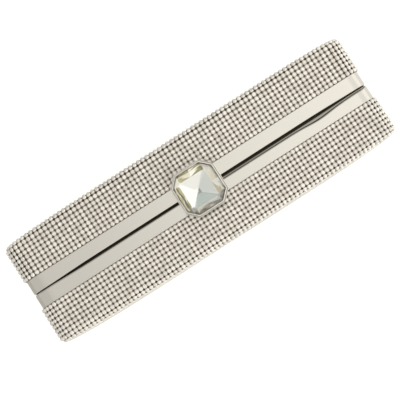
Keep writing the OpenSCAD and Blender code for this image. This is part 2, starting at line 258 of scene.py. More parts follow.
def crown(x, z):
    """How far the large face bulges at x and z from its middle.

    Along the bag it falls away with a high power of x, and so is flat in the middle; up the bag with z
    squared.
    """
    return CROWN_X * (1 - (x / SHELL_X) ** CROWN_POWER) + CROWN_Z * (1 - (z / SHELL_Z) ** 2)


def on_wrap(base, out, path):
    """Places and normals on the mesh where it wraps from a rail's edge over the edge of the tray.

    base and out are points and outward directions round the shell's outline, and path is the distance
    along the mesh from the rail's edge: up the side wall, round the edge on a quarter circle, then in
    over the large face. Also gives the directions along the outline and the path's length to the end of
    the quarter circle.
    """
    edge = base - out * EDGE_R
    straight = SHELL_D + STONE_LEVEL - RAIL_Y1 - WRAP_R + crown(edge[..., 0], edge[..., 1])
    angle = np.clip((path - straight) / WRAP_R, 0, np.pi / 2)
    inset = np.maximum(path - straight - WRAP_R * np.pi / 2, 0)
    push = STONE_LEVEL - WRAP_R * (1 - np.cos(angle)) - inset
    place = base + out * push[..., None]
    depth = RAIL_Y1 + np.minimum(path, straight) + WRAP_R * np.sin(angle)
    on_face = SHELL_D + STONE_LEVEL + crown(place[..., 0], place[..., 1])
    depth = np.where(inset > 0, on_face, depth)
    points = np.stack([place[..., 0], depth, place[..., 1]], axis=-1)
    normals = np.stack([out[..., 0] * np.cos(angle), np.sin(angle), out[..., 1] * np.cos(angle)], axis=-1)
    along = np.stack([-out[..., 1], np.zeros_like(angle), out[..., 0]], axis=-1)
    return points, normals, along, straight + WRAP_R * np.pi / 2


def join(sets):
    """Joins sets of points, normals and directions into one."""
    return [np.concatenate([s[i] for s in sets]) for i in range(3)]


def middles(count, pitch):
    """Places of a row of stones, count on each side of the middle."""
    return (np.arange(-count, count) + 0.5) * pitch


def wall_stones(along, across, columns, rows):
    """Straight columns up the four walls: evenly pitched, then spread over the edge to the face's grid."""
    x = middles(int((SHELL_X - SHELL_R) / along), along)
    z = middles(int((SHELL_Z - SHELL_R) / PITCH), PITCH)
    to_row = SHELL_Z - EDGE_R - (rows - 0.5) * PITCH  # from the edge to the grid's outermost row
    to_column = SHELL_X - EDGE_R - (columns - 0.5) * along
    sets = []
    for sign in (1, -1):
        top = np.stack([x, np.full_like(x, sign * SHELL_Z)], 1)
        end = np.stack([np.full_like(z, sign * SHELL_X), z], 1)
        for base, out, inset in ((top, (0.0, sign), to_row), (end, (sign, 0.0), to_column)):
            out = np.tile(np.array(out, float), (len(base), 1))
            fixed = FIRST_ROW + across * np.arange(WALL_ROWS)
            room = on_wrap(base, out, np.zeros(len(base)))[3] + inset - fixed[-1]
            count = int(round(room.mean() / across))
            paths = [np.full(len(base), t) for t in fixed]
            paths += [fixed[-1] + room * j / count for j in range(1, count)]
            sets += [on_wrap(base, out, path)[:3] for path in paths]
    return join(sets)


def corner_stones(along, across):
    """Stones round the four corners: each row is as many as its own arc has room for, evenly spaced."""
    centre = np.array([SHELL_X - SHELL_R, SHELL_Z - SHELL_R])
    run_x = centre[0] - int(centre[0] / along) * along  # straight stretches left over at each end of the arc
    run_z = centre[1] - int(centre[1] / PITCH) * PITCH
    paths = list(FIRST_ROW + across * np.arange(WALL_ROWS))
    paths += [paths[-1] + CORNER_STEP * j for j in CORNER_ROWS]
    sets = []
    for path in paths:
        angle = np.clip((path - WALL_END) / WRAP_R, 0, np.pi / 2)
        inset = max(path - WALL_END - WRAP_R * np.pi / 2, 0)
        radius = SHELL_R + STONE_LEVEL - WRAP_R * (1 - np.cos(angle)) - inset
        length = run_x + radius * np.pi / 2 + run_z
        count = max(int(round(length / PITCH)), 1)
        s = (np.arange(count) + 0.5) * length / count
        turn = np.clip((s - run_x) / radius, 0, np.pi / 2)
        out = np.stack([np.sin(turn), np.cos(turn)], 1)
        base = centre + SHELL_R * out
        base[:, 0] -= np.maximum(run_x - s, 0)
        base[:, 1] -= np.maximum(s - run_x - radius * np.pi / 2, 0)
        for flip in np.array([(1, 1), (-1, 1), (-1, -1), (1, -1)]):
            sets.append(on_wrap(base * flip, out * flip, np.full(count, path))[:3])
    return join(sets)


def face_stones(along, columns, rows):
    """The square grid on the large face, inside its rounded outline, with normals that follow the crown."""
    x, z = (a.ravel() for a in np.meshgrid(middles(columns, along), middles(rows, PITCH)))
    corner = SHELL_R - EDGE_R - GRID_CORNER
    beyond_x = np.maximum(np.abs(x) - (SHELL_X - SHELL_R), 0)
    beyond_z = np.maximum(np.abs(z) - (SHELL_Z - SHELL_R), 0)
    keep = (beyond_x == 0) | (beyond_z == 0) | (np.hypot(beyond_x, beyond_z) < corner)
    x, z = x[keep], z[keep]
    points = np.stack([x, SHELL_D + STONE_LEVEL + crown(x, z), z], 1)
    slope_x = -CROWN_POWER * CROWN_X * x ** (CROWN_POWER - 1) / SHELL_X**CROWN_POWER
    slope_z = -2 * CROWN_Z * z / SHELL_Z**2
    normals = np.stack([-slope_x, np.ones_like(x), -slope_z], 1)
    normals /= np.linalg.norm(normals, axis=1, keepdims=True)
    return points, normals, np.tile([1.0, 0.0, 0.0], (len(x), 1))


def clear_of(points, others, least):
    """True for each point that is at least that far from all the others."""
    square = ((points[:, None, :] - others[None, :, :]) ** 2).sum(-1)
    return square.min(1) >= least**2


def corner_fill(placed, least):
    """Stones for the holes left at the large face's corners: trial places, taken where no stone is too near.

    The trials lie every 2.5 degrees round the corner, and every quarter of a millimetre over the edge.
    """
    turns = np.radians(np.arange(0, 91, 2.5))
    paths = WALL_END + np.arange(1.0, 10.0, 0.25)
    turn, path = (a.ravel() for a in np.meshgrid(turns, paths))
    out = np.stack([np.sin(turn), np.cos(turn)], 1)
    base = np.array([SHELL_X - SHELL_R, SHELL_Z - SHELL_R]) + SHELL_R * out
    trials = on_wrap(base, out, path)[:3]
    reach = 16  # stones further than this from the corner can't be too near
    near = placed[(placed[:, 0] > SHELL_X - reach) & (placed[:, 2] > SHELL_Z - reach)]
    taken = []
    for k, point in enumerate(trials[0]):
        if clear_of(point[None], near, least)[0]:
            taken.append(k)
            near = np.concatenate([near, point[None]])
    sets = []
    for flip in np.array([(1, 1, 1), (-1, 1, 1), (-1, 1, -1), (1, 1, -1)]):
        sets.append([t[taken] * flip for t in trials])
    return join(sets)


def stone_places(half):
    """All stones of one half, as if it were the back one: on the walls and edges, and on the large face.

    columns and rows are how many stones of the face's grid lie on each side of its middle.
    """
    along, across = PITCHES[half]
    columns = int((SHELL_X - GRID_INSET) / along + 0.5)
    rows = int((SHELL_Z - GRID_INSET) / PITCH + 0.5)
    face = face_stones(along, columns, rows)
    wall = wall_stones(along, across, columns, rows)
    corner = corner_stones(along, across)
    keep = clear_of(corner[0], np.concatenate([face[0], wall[0]]), LEAST)
    wall = join([wall, [c[keep] for c in corner]])
    fill = corner_fill(np.concatenate([face[0], wall[0]]), LEAST_FILL)
    return join([wall, fill]), face


# ---- stones and cups ----


def eight(radius, height):
    """Eight points round an axis with flat sides towards the four neighbours."""
    angle = np.pi / 8 + np.arange(8) * np.pi / 4
    return np.stack([radius * np.cos(angle), radius * np.sin(angle), np.full(8, height)], 1)


# Rings of a stone about 2.2 mm across, from its back in the cup, over its girdle, up to its small flat table
STONE = np.concatenate([eight(0.95, -0.25), eight(1.17, -0.02), eight(1.12, 0.16), eight(0.64, 0.66)])
# Rings of a cup about 2.4 mm across, from just above the board to just below the girdle
CUP = np.concatenate([eight(1.27, -0.8), eight(1.3, -0.1)])


def strew(name, shape, rings, places, body, side, material, tilt=0.0, seed=1):
    """One mesh with a copy of the shape at each place, turned to the surface and tipped a little at random.

    The shape's x runs along the mesh's rows, its z along the surface's normal, and its y square to both.
    Each copy has its own random number from 0 to 1, in the attribute glint.
    """
    points, normals, along = (a.copy() for a in places)
    rng = np.random.default_rng(seed)
    normals = normals + rng.normal(0, tilt, normals.shape)
    normals /= np.linalg.norm(normals, axis=1, keepdims=True)
    along = along - normals * (along * normals).sum(1, keepdims=True)
    along /= np.linalg.norm(along, axis=1, keepdims=True)
    across = np.cross(normals, along)
    local = shape[None, :, 0, None] * along[:, None] + shape[None, :, 1, None] * across[:, None]
    local = local + shape[None, :, 2, None] * normals[:, None]
    all_points = (points[:, None] + local).reshape(-1, 3)
    all_points[:, 1] *= side
    all_points[:, 2] += MID_Z
    one = ring_faces(rings, 8)
    if side < 0:
        one = [tuple(reversed(f)) for f in one]
    step = len(shape)
    faces = [tuple(i + k * step for i in f) for k in range(len(points)) for f in one]
    made = piece(name, all_points, faces, body, [material])
    glint = np.repeat(rng.random(len(points)), step).astype(np.float32)
    made.data.attributes.new("glint", "FLOAT", "POINT").data.foreach_set("value", glint)
    return made


# ---- polished frames ----


def rounded_loop(half_x, half_z, radius, step, turns=12):
    """Points and outward directions round a rectangle with round corners, clockwise from its top left corner.

    An arc has turns steps, and the straight stretches between arcs have even steps no longer than step.
    """
    flat_x, flat_z = half_x - radius, half_z - radius
    corners = np.array([(-flat_x, flat_z), (flat_x, flat_z), (flat_x, -flat_z), (-flat_x, -flat_z)])
    points, outs = [], []
    for k in range(4):
        angle = np.radians(180 - 90 * k - np.linspace(0, 90, turns + 1))
        out = np.stack([np.cos(angle), np.sin(angle)], 1)
        arc = corners[k] + radius * out
        onward = corners[(k + 1) % 4] + radius * out[-1]
        count = int(np.ceil(np.linalg.norm(onward - arc[-1]) / step))
        share = (np.arange(1, count) / count)[:, None]
        points += [arc, arc[-1] + (onward - arc[-1]) * share]
        outs += [out, np.tile(out[-1], (count - 1, 1))]
    return np.concatenate(points), np.concatenate(outs)


def ease(t):
    """A smooth step from 0 to 1."""
    t = np.clip(t, 0, 1)
    return t * t * (3 - 2 * t)


def back_edge(x):
    """The back rail's edge on top: the seam closes towards the bag's ends."""
    return RAIL_Y0 - (RAIL_Y0 - END_EDGE) * ease((np.abs(x) - CLOSE_FROM) / CLOSE_OVER)


def front_edge(x):
    """The front rail's edge on top: it stands back from the lip right of the clasp, most where it dips."""
    dip = np.exp(-(((x - DIP_AT) / DIP_WIDTH) ** 2))
    return back_edge(x) + LIP_BACK * ease((x - LIP_FROM) / LIP_OVER) + DIP_BACK * dip


def edge_round(base, out, top_edge):
    """A rail's edge all the way round: shaped on top, nearly closed at the ends, plain along the bottom."""
    turned_up = ease(1.2 * out[:, 1])  # full well before the rail lies flat on top
    on_top = END_EDGE + (top_edge(base[:, 0]) - END_EDGE) * turned_up
    fade = 4  # length over which the bottom's edge takes over, above the bottom corners
    low = ease((-base[:, 1] - (RAIL_Z - RAIL_R) + fade / 2) / fade)
    return on_top + (RAIL_Y0 - on_top) * low


def arc_profile(centre, radius, start, stop, count):
    """Points on an arc of a profile, with angles in degrees from the direction away from the seam."""
    angle = np.radians(np.linspace(start, stop, count))
    return [(centre[0] + radius * np.cos(a), centre[1] + radius * np.sin(a)) for a in angle]


def rail_profile(below):
    """A rail's outline across, as distances from the seam and heights, and which points go with its edge.

    The edge at the seam is rolled on a quarter circle of radius ROLL, the outer one is soft, and below
    lists the points under the rolled edge. The rail's own points number RAIL_POINTS.
    """
    outer = arc_profile((RAIL_Y1 - SOFT_R, -SOFT_R), SOFT_R, 0, 90, 3)
    rolled = arc_profile((RAIL_Y0 + ROLL, -ROLL), ROLL, 90, 180, 7)
    # Two points keep the rail flat between its edges
    flat = [(RAIL_Y1 - 0.3, 0.0), (RAIL_Y0 + ROLL + 0.1, 0.0)]
    points = np.array([(RAIL_Y1, -UNDER_RAIL)] + outer + flat + rolled + below)
    fixed = 5  # the side and the outer edge stay where they are
    return points, np.array([0.0] * fixed + [1.0] * (RAIL_POINTS - fixed) + [0.0] * len(below))


def sweep_frame(name, profile, follow, close, top_edge, body, side, materials, slots):
    """A closed profile carried round the frame's outline: each of its points is moved out by its height.

    follow says how much each point goes with the rail's edge, and close how much with the closing seam.
    """
    base, out = rounded_loop(RAIL_X, RAIL_Z, RAIL_R, 2.5)
    away = edge_round(base, out, top_edge) - RAIL_Y0
    closing = edge_round(base, out, back_edge) - RAIL_Y0
    y = profile[None, :, 0] + away[:, None] * follow[None, :] + closing[:, None] * close[None, :]
    xz = base[:, None] + out[:, None] * profile[None, :, 1, None]
    points = np.stack([xz[..., 0], side * y, xz[..., 1] + MID_Z], -1).reshape(-1, 3)
    faces = grid_faces(len(base), len(profile), True, True)
    return piece(name, points, faces, body, materials, np.tile(slots, len(base)), 35)


def polished_frames():
    """Both frames: a flat rail with a rolled edge, and the flange that stands in the gap between the rails.

    The front flange carries the lip that shows in the gap, which rolls down towards the gap; the back
    flange has a foot that closes the gap below.
    """
    fall = np.radians(np.linspace(0, 90, 6))
    lip = [(RAIL_Y0, -LIP_DEPTH - LIP_ROLL * (1 - np.cos(a))) for a in fall]
    front_flange = [(RAIL_Y0, -FRONT_DEPTH), (FLANGE_IN, -FRONT_DEPTH), (FLANGE_IN, -LEDGE_DEPTH)]
    ledge = [(LEDGE_Y, -LEDGE_DEPTH), (LEDGE_Y, -UNDER_RAIL)]
    front, front_follow = rail_profile(lip + front_flange + ledge)
    on_lip = slice(RAIL_POINTS, RAIL_POINTS + len(lip))
    # The lip starts three quarters of the way back to the rail's edge, and ends at the seam
    front_follow[on_lip] = 0.75 * (1 - np.sin(fall))
    front_close = np.zeros(len(front))
    front_close[on_lip] = 1 - front_follow[on_lip]
    back_flange = [(RAIL_Y0, -LIP_DEPTH), (RAIL_Y0, -BACK_DEPTH)]
    foot = [(FOOT_Y, -BACK_DEPTH), (FOOT_Y, -FOOT_DEPTH), (FLANGE_IN, -FOOT_DEPTH), (FLANGE_IN, -UNDER_RAIL)]
    back, back_follow = rail_profile(back_flange + foot)
    polished = [0] * (RAIL_POINTS - 1)  # a face lies between a point and the next one
    # Faces in slot 1 are painted dark as shade: the crevice under the rolled edge, and the flanges in the
    # gap. Faces in slot 2 are the lip, painted a darker grey as shade
    lip_slots = [1] + [2] * (len(lip) - 1)
    front_slots = np.array(polished + lip_slots + [1] * (len(front) - len(polished + lip_slots)))
    back_slots = np.array(polished + [1] * (len(back) - len(polished)))
    stem = upright_cylinder(STEM_R, TOP - STEM_DEPTH, TOP + 1)
    hinges = []
    for middle in (-HINGE_X, HINGE_X):
        hinges.append(box_solid((middle - HINGE_HALF, -HINGE_Y, -1), (middle + HINGE_HALF, HINGE_Y, HINGE_Z)))
    for half, side, profile, follow, close, edge, slots in (
        ("front", -1, front, front_follow, front_close, front_edge, front_slots),
        ("back", 1, back, back_follow, np.zeros(len(back)), back_edge, back_slots),
    ):
        plating_and_shade = [NICKEL, GAP_SHADE_NICKEL, SHADED_LIP_NICKEL]
        body = half + "_half"
        made = sweep_frame(half + "_rail", profile, follow, close, edge, body, side, plating_and_shade, slots)
        cut(made, [stem] + hinges, 35)
        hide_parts(half + "_frame")


# ---- stone setting and cut stone ----


def eight_ring(half, height, bow=None, cut_off=None):
    """Points of an eight-sided ring round the clasp's axis; with bow, each side's middle is moved out by it.

    Unless it is given, the corners' cut is that of the setting's outline drawn in to this half width.
    """
    if cut_off is None:
        cut_off = max(SETTING_CUT - CUT_LOSS * (SETTING_HALF - half), 0.3 * half)
    corners = octagon(half, cut_off)
    if bow is not None:
        bowed = (corners + np.roll(corners, -1, 0)) / 2
        bowed *= 1 + bow / np.linalg.norm(bowed, axis=1, keepdims=True)
        corners = np.stack([corners, bowed], 1).reshape(-1, 2)
    return np.column_stack([corners, np.full(len(corners), TOP + height)])


def setting():
    """The cast setting: a profile carried round eight sides, with a double rim round the stone.

    The profile is half widths and heights above the rails, and a groove, painted a darker grey as shade,
    parts the two rims.
    """
    wall = [(11.8, 3.4), (12.6, 3.4), (SETTING_HALF, 3.6), (SETTING_HALF, 9.9)]
    outer_rim = [(12.72, 10.2), (12.58, 10.3), (12.42, 10.2)]
    groove = [(12.36, 9.6), (12.05, 9.6)]
    inner_rim = [(12.0, 10.25), (11.85, 10.42), (11.6, 10.42), (11.45, 10.25), (11.4, 9.95), (11.7, 9.9)]
    seat = [(11.7, 9.05), (10.7, 9.05), (10.7, 6.4)]
    floor_plate = [(1.5, 6.4), (1.5, 5.6), (11.8, 5.6)]
    profile = wall + outer_rim + groove + inner_rim + seat + floor_plate
    points = np.concatenate([eight_ring(half, height) for half, height in profile])
    first = len(wall + outer_rim) - 1  # the groove's two sides and its floor are three faces from here
    # The groove's three faces take the plate painted darker as shade
    slots = np.repeat([1 if first <= k <= first + 2 else 0 for k in range(len(profile))], 8)
    faces = grid_faces(len(profile), 8, True, True)
    made = piece("bezel_setting", points, faces, "clasp_button", [SILVER, SHADED_LIP_NICKEL], slots)
    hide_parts("stone_setting")


def facets(rings, sides):
    """Triangles between rings of points, with diagonals that meet at every other point, and flat ends.

    The triangles come ring by ring, two for each side.
    """
    faces = []
    for k in range(rings - 1):
        for i in range(sides):
            a, b = k * sides + i, k * sides + (i + 1) % sides
            c, d = a + sides, b + sides
            faces += [(a, b, d), (a, d, c)] if i % 2 else [(a, b, c), (b, d, c)]
    return faces + end_caps(rings, sides)


def cut_stone():
    """The large stone: a low four-sided back with its point off centre, and small facets round a flat table.

    Each ring is half width, height, bow, corner cut and how far it shares in the point's shift. The
    silvered back is the bands of facets below the girdle, and the first ring's flat end.
    """
    back = [(0.4, 8.0, 0.0, 0.1, 1.0), (1.6, 8.13, 0.0, 0.28, 0.89), (7.6, 8.78, 0.0, 1.2, 0.36)]
    back += [(9.7, 9.15, -0.3, 2.6, 0.0)]
    girdle = [(11.6, 9.6, 0.0, 4.8, 0.0), (11.6, 10.0, 0.0, 4.8, 0.0)]
    top = [(10.7, 10.8, 0.35, 4.1, 0.0), (8.9, 12.2, -0.1, 3.6, 0.0)]
    rings = back + girdle + top
    points = np.concatenate([eight_ring(*ring[:4]) for ring in rings])
    shift = np.repeat([ring[4] for ring in rings], STONE_SIDES)
    points[:, :2] += shift[:, None] * POINT_AT
    faces = facets(len(rings), STONE_SIDES)
    silvered = len(back) * BAND
    slots = [1] * silvered + [0] * (len(faces) - silvered - 2) + [1, 0]
    made = piece("cut_crystal", points, faces, "clasp_button", [CUT_GLASS, MIRROR_BACK], slots)
    reflection_tones = np.ones((len(faces), 4), dtype=np.float32)
    # The silvered facets get painted reflections as their colours
    reflection_tones[:silvered] = painted_back_reflections([points[list(face)].mean(0) for face in faces[:silvered]])
    made.data.attributes.new("tone", "FLOAT_COLOR", "FACE").data.foreach_set("color", reflection_tones.ravel())
    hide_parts("crystal")


def painted_back_reflections(places):
    """Painted reflections on the silvered facets, from their middles: four for the point's sides, mixed ones
    round the rim.

    Quarters are counted from the right by way of the back. The rim's painted reflection is olive towards the
    back and the left, and cream towards the front and the right.
    """
    sides = [colour(text) for text in ("#eaf0ee", "#f1f2ef", "#fffffd", "#c6d2cf")]
    warm = [colour(text) for text in ("#fffcf0", "#fffef8", "#d8cfb2", "#f8f3e0")]
    olive = [colour(text) for text in ("#b5b18c", "#f3efdc", "#98936e", "#fffdf2")]
    rng = np.random.default_rng(8)
    reflection_tones = []
    for k, place in enumerate(places):
        angle = np.arctan2(place[1] - MEET_AT[1], place[0] - MEET_AT[0])
        quarter = int(np.floor((angle + np.pi / 4) / (np.pi / 2))) % 4
        if k < BAND:
            reflection_tones.append(colour("#a7b3af") if quarter in (0, 3) else colour("#fafcf9"))
        elif k < 2 * BAND:
            reflection_tones.append(sides[quarter])
        else:
            reflection_tones.append((olive if quarter in (1, 2) else warm)[rng.integers(4)])
    return np.array(reflection_tones, dtype=np.float32)


# ---- spring ----


def spring():
    """The clasp's spring: a round wire carried along a helix.

    The wire's section stands upright at every step, as r = coil + wire cos(b), z = rise + wire sin(b).
    """
    wire = 0.35  # radius of the wire
    coil = 5.4  # radius of the coil
    turns = 3.5
    low = 1.6  # heights of the wire's middle at the two ends, above the rails
    high = 5.2
    steps = 24  # round one turn
    sides = 10
    angle = np.arange(int(turns * steps) + 1) * 2 * np.pi / steps
    around = np.arange(sides) * 2 * np.pi / sides
    reach = coil + wire * np.cos(around)[None, :]
    rise = TOP + low + (high - low) * angle / angle[-1]
    z = rise[:, None] + wire * np.sin(around)[None, :]
    points = np.stack([reach * np.cos(angle)[:, None], reach * np.sin(angle)[:, None], z], -1).reshape(-1, 3)
    made = piece("coiled_spring", points, ring_faces(len(angle), sides), "back_half", [STEEL], None, 40)
    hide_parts("clasp_spring")
    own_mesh(made)


# ---- lining and pocket ----

LINING_OUT = -2.1  # the lining's outer face, from the shell's outer face
LINING_EDGE = 7.0  # its edge, from the seam
LINING_R = 0.5  # its rounding into the large face
LINING_SIDES = 160  # points round one of its rings
CLOTH = 0.4  # thickness of the satin with its glue
PUCKER = 0.22  # height of the puckers
PUCKER_REACH = 9  # how far from the edge they die away
PUCKER_ROOM = 0.25  # room behind the lining, for the puckers that go towards the shell


def lining(half, side):
    """Satin glued inside a shell: up the wall, round the edge and in to the middle, puckered near the edge.

    A ring of the surface is the tray's outline drawn in by inset, at a depth that follows the crown; the
    puckers are small waves along the outline that die away from the edge.
    """
    floor_depth = SHELL_D + LINING_OUT
    turn = np.radians(np.linspace(0, 90, 5))
    wall = [(0.0, LINING_EDGE + (floor_depth - LINING_R - LINING_EDGE) * t) for t in np.linspace(0, 1, 7)]
    rounding = [(LINING_R * (1 - np.cos(a)), floor_depth - LINING_R * (1 - np.sin(a))) for a in turn[1:]]
    over = [(inset, floor_depth) for inset in (2, 4, 7, 11, 16, 22, 29, 37, 44)]
    rings = []
    for inset, depth in wall + rounding + over:
        reach = LINING_OUT - inset
        corner = max(SHELL_R + reach, 0.4)
        ring = rounded_loop(SHELL_X + reach, SHELL_Z + reach, corner, 4.0, 6)[0]
        length = np.concatenate([[0], np.cumsum(np.linalg.norm(np.diff(ring, axis=0), axis=1))])
        even = np.linspace(0, length[-1], LINING_SIDES)
        x = np.interp(even, length, ring[:, 0])
        z = np.interp(even, length, ring[:, 1])
        share = ease((depth - LINING_EDGE) / (SHELL_D - LINING_EDGE))
        wave = PUCKER * np.exp(-inset / PUCKER_REACH) * share * np.sin(even / 5.1 + 2 * np.sin(even / 37))
        rings.append(np.stack([x, side * (depth + crown(x, z) * share - wave - PUCKER_ROOM), z + MID_Z], 1))
    faces = grid_faces(len(rings), LINING_SIDES, False, True) + end_caps(len(rings), LINING_SIDES)[1:]
    made = piece(half + "_satin_lining", np.concatenate(rings), faces, half + "_half", [SATIN], None, 50)
    thick(made, CLOTH)
    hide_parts(half + "_lining")
    return made


def thick(made, wall):
    """Gives a sheet its thickness, inwards from the surface."""
    solid = made.modifiers.new("thickness", "SOLIDIFY")
    solid.thickness = wall * MM
    solid.offset = -1


def pocket():
    """A flat satin pocket sewn to the back lining on three sides, whose free edge stands a little open.

    It is a grid whose depth follows the crown, less a bulge that grows towards the middle of the free
    edge, and small rucks along that edge.
    """
    low, high = box_mm("back_pocket")
    columns = 49
    rows = 25
    seam = 0.5  # turned in all round
    x = np.linspace(low[0] + seam, high[0] - seam, columns)
    z = np.linspace(low[2] + seam, high[2] - seam, rows)
    x, z = np.meshgrid(x, z)
    rise = (z - low[2]) / (high[2] - low[2])
    open_by = 1.3 * (1 - (x / high[0]) ** 2) * ease(rise * 1.2 - 0.2)
    ruck = 0.12 * np.sin(x / 4.3) * ease(rise * 2 - 1)
    lining_depth = 2.9  # the lining's inner face, from the shell's large face
    y = SHELL_D - lining_depth + crown(x, z - MID_Z) - 0.7 - open_by - ruck
    points = np.stack([x, y, z], -1).reshape(-1, 3)
    made = piece("back_satin_pocket", points, grid_faces(rows, columns), "back_half", [SATIN], None, 60)
    thick(made, CLOTH)
    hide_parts("back_pocket")
    return made


# ---- materials ----


def colour(text):
    """An sRGB hex colour as linear RGBA."""
    c = np.array([int(text[i : i + 2], 16) for i in (1, 3, 5)]) / 255
    linear = np.where(c <= 0.04045, c / 12.92, ((c + 0.055) / 1.055) ** 2.4)
    return (*linear.tolist(), 1.0)


def add(tree, kind, settings=None, links=None):
    """Adds a node: settings are its properties or socket values, and links its inputs' sources."""
    made = tree.nodes.new(kind)
    for name, value in (settings or {}).items():
        if isinstance(name, str) and hasattr(made, name):
            setattr(made, name, value)
        else:
            made.inputs[name].default_value = value
    for name, source in (links or {}).items():
        tree.links.new(source, made.inputs[name])
    return made


def scale_for(size):
    """The scale of a noise whose spots are size mm across, on coordinates in metres."""
    return 1 / (size * MM)


def wave_scale_for(pitch):
    """The scale of a wave whose bands are pitch mm apart: a band is 0.314 long at a scale of 1."""
    return 0.314 / (pitch * MM)


def material(name, settings):
    """A material with one Principled shader, returned with its node tree and shader."""
    made = bpy.data.materials.new(name)
    made.use_nodes = True
    tree = made.node_tree
    tree.nodes.clear()
    shader = add(tree, "ShaderNodeBsdfPrincipled", settings)
    add(tree, "ShaderNodeOutputMaterial", links={"Surface": shader.outputs[0]})
    return made, tree, shader


def chaton_glass():
    """Machine-cut glass chatons with foil backs: clear stones that throw back white light, none quite alike.

    The foil under the glass is stood for by a part metallic surface, which throws light back as the pair
    does.
    """
    glass = {"Metallic": 0.35, "Roughness": 0.12, "IOR": 1.56}
    made, tree, shader = material("foil_backed_glass_chatons", glass)
    glint = add(tree, "ShaderNodeAttribute", {"attribute_name": "glint"})
    ramp = add(tree, "ShaderNodeValToRGB", links={"Fac": glint.outputs["Fac"]})
    ramp.color_ramp.elements[0].color = colour("#e8e3db")
    ramp.color_ramp.elements[1].color = colour("#fdf9f2")
    tree.links.new(ramp.outputs["Color"], shader.inputs["Base Color"])
    return made


def plated_cup():
    """Cups stamped from brass strip and silver plated: warm grey between the stones, a little uneven."""
    made, tree, shader = material("silver_plated_cups", {"Metallic": 1.0, "Roughness": 0.3})
    place = add(tree, "ShaderNodeTexCoord")
    # The plate's tone changes from one side of a cup to the other, over about 1 mm
    spots = {"Scale": scale_for(1.111)}
    noise = add(tree, "ShaderNodeTexNoise", spots, {"Vector": place.outputs["Object"]})
    ramp = add(tree, "ShaderNodeValToRGB", links={"Fac": noise.outputs["Fac"]})
    ramp.color_ramp.elements[0].color = colour("#a49c90")
    ramp.color_ramp.elements[1].color = colour("#cdc6ba")
    tree.links.new(ramp.outputs["Color"], shader.inputs["Base Color"])
    return made


def backing_board():
    """Pressed fibre board under the mesh, dyed taupe: matt, seen as small dark gaps between the cups."""
    made, tree, shader = material("dyed_moulded_board", {"Roughness": 0.8})
    place = add(tree, "ShaderNodeTexCoord")
    # Clumps of fibre, drawn as coarse as the mesh's pitch, because finer ones would not show
    fibres = {"Scale": scale_for(2.5), "Detail": 4.0}
    noise = add(tree, "ShaderNodeTexNoise", fibres, {"Vector": place.outputs["Object"]})
    ramp = add(tree, "ShaderNodeValToRGB", links={"Fac": noise.outputs["Fac"]})
    ramp.color_ramp.elements[0].color = colour("#7d7669")
    ramp.color_ramp.elements[1].color = colour("#989083")
    tree.links.new(ramp.outputs["Color"], shader.inputs["Base Color"])
    return made


def worked_metal(name, rough, tint):
    """Metal worked along the bag's length: faint rub marks, and slow waves where it isn't quite flat.

    rough is the least and the most roughness of the rub marks.
    """
    made, tree, shader = material(name, {"Metallic": 1.0})
    place = add(tree, "ShaderNodeTexCoord")
    stretch = {"Scale": (0.05, 1.0, 1.0)}  # a rub mark is 20 times as long as it is wide
    along = add(tree, "ShaderNodeMapping", stretch, {"Vector": place.outputs["Object"]})
    # Nearly 4 mm wide, because real ones of 0.1 mm would not show
    marks = {"Scale": scale_for(3.846), "Detail": 5.0}
    rub = add(tree, "ShaderNodeTexNoise", marks, {"Vector": along.outputs[0]})
    least_most = {"To Min": rough[0], "To Max": rough[1]}
    rough_map = add(tree, "ShaderNodeMapRange", least_most, {"Value": rub.outputs["Fac"]})
    tree.links.new(rough_map.outputs[0], shader.inputs["Roughness"])
    shader.inputs["Base Color"].default_value = colour(tint)
    waves = {"Scale": scale_for(33.33), "Detail": 1.0}  # a bent strip is out of flat over some 30 mm
    wave = add(tree, "ShaderNodeTexNoise", waves, {"Vector": place.outputs["Object"]})
    bump = add(tree, "ShaderNodeBump", {"Strength": 0.05, "Distance": 0.001}, {"Height": wave.outputs["Fac"]})
    tree.links.new(bump.outputs[0], shader.inputs["Normal"])
    return made


def cut_glass():
    """Clear lead glass, ground and polished in flat facets: sharp, bright, clear down to its silvering."""
    glass = {"Roughness": 0.0, "IOR": 1.54, "Transmission Weight": 1.0}
    made, _, shader = material("cut_lead_glass", glass)
    shader.inputs["Base Color"].default_value = colour("#fffefb")
    return made


def mirror_back():
    """Silvering on the stone's back, with a painted reflection: each ground facet's colour is the tone it
    would pick up from round the room.
    """
    made, tree, shader = material("silvered_back", {"Roughness": 0.07, "Metallic": 0.8})
    tone = add(tree, "ShaderNodeAttribute", {"attribute_name": "tone"})
    tree.links.new(tone.outputs["Color"], shader.inputs["Base Color"])
    return made


def satin():
    """Woven polyester satin, champagne grey: a soft sheen, a fine rib, and slow changes of tone."""
    made, tree, shader = material("woven_satin", {"Roughness": 0.45, "Sheen Weight": 0.4})
    place = add(tree, "ShaderNodeTexCoord")
    # Real threads lie 0.1 mm apart, too fine to show, so the rib is drawn five times as coarse
    ribs = {"Scale": wave_scale_for(0.5233), "bands_direction": "X"}
    rib = add(tree, "ShaderNodeTexWave", ribs, {"Vector": place.outputs["Object"]})
    bump = add(tree, "ShaderNodeBump", {"Strength": 0.15, "Distance": 0.0002}, {"Height": rib.outputs["Fac"]})
    tree.links.new(bump.outputs[0], shader.inputs["Normal"])
    clouds = {"Scale": scale_for(22.22), "Detail": 3.0}  # patches of about 22 mm
    cloud = add(tree, "ShaderNodeTexNoise", clouds, {"Vector": place.outputs["Object"]})
    ramp = add(tree, "ShaderNodeValToRGB", links={"Fac": cloud.outputs["Fac"]})
    ramp.color_ramp.elements[0].color = colour("#b5ac9f")
    ramp.color_ramp.elements[1].color = colour("#cdc5b8")
    tree.links.new(ramp.outputs["Color"], shader.inputs["Base Color"])
    return made


